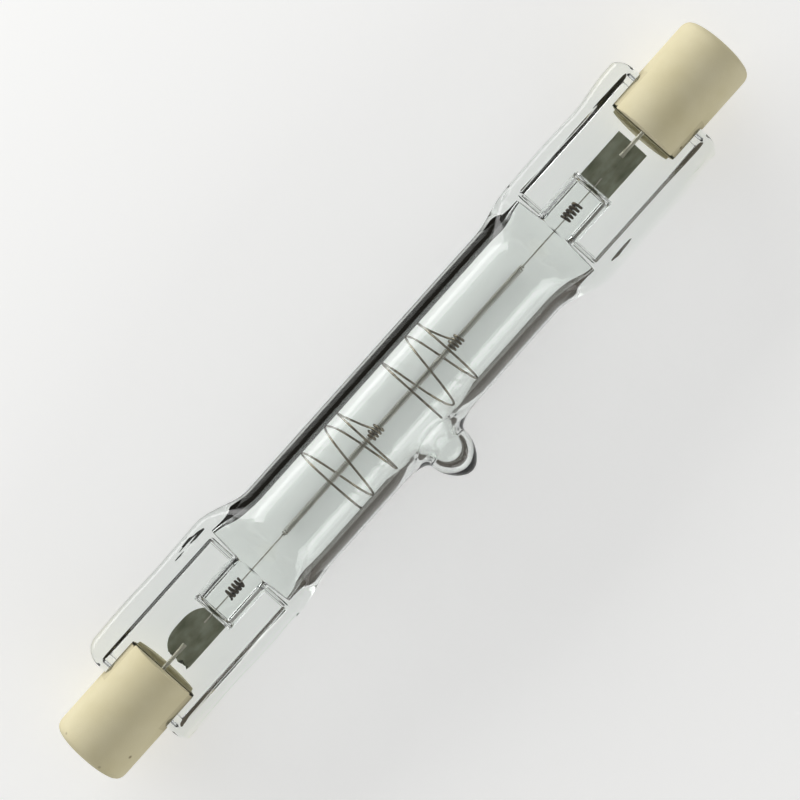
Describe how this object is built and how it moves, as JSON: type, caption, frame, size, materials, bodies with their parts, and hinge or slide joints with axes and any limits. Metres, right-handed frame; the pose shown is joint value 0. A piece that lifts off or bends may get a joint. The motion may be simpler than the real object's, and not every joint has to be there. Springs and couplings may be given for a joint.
{
  "type": "linear halogen bulb",
  "caption": "Double-ended linear halogen lamp: a sealed quartz tube with flat pressed ends, an exhaust tip and slotted ceramic caps with recessed contacts.",
  "frame": {"origin": "on the tube's axis, midway between the two contacts", "axes": "+X along the lamp, +Z square to the flat faces of the pressed ends, and the exhaust tip points to -Y"},
  "size_m": [0.0782, 0.0142, 0.0092],
  "materials": {
    "fused_quartz": "clear, fire polished",
    "steatite": "matt, fired",
    "cap_cement": "matt, grainy",
    "nickel_contact": "bright, turned",
    "molybdenum": "dull, rolled",
    "tungsten": "satin, drawn"
  },
  "bodies": {
    "root": {"quartz_envelope": "fused_quartz", "filament": "tungsten", "support_spiral_1": "tungsten", "support_spiral_2": "tungsten", "sealing_foil_right": "molybdenum", "sealing_foil_left": "molybdenum", "outer_lead_right": "molybdenum", "outer_lead_left": "molybdenum", "ceramic_cap_right": "steatite", "ceramic_cap_left": "steatite", "cap_cement_right": "cap_cement", "cap_cement_left": "cap_cement", "contact_right": "nickel_contact", "contact_left": "nickel_contact"}
  },
  "joints": []
}
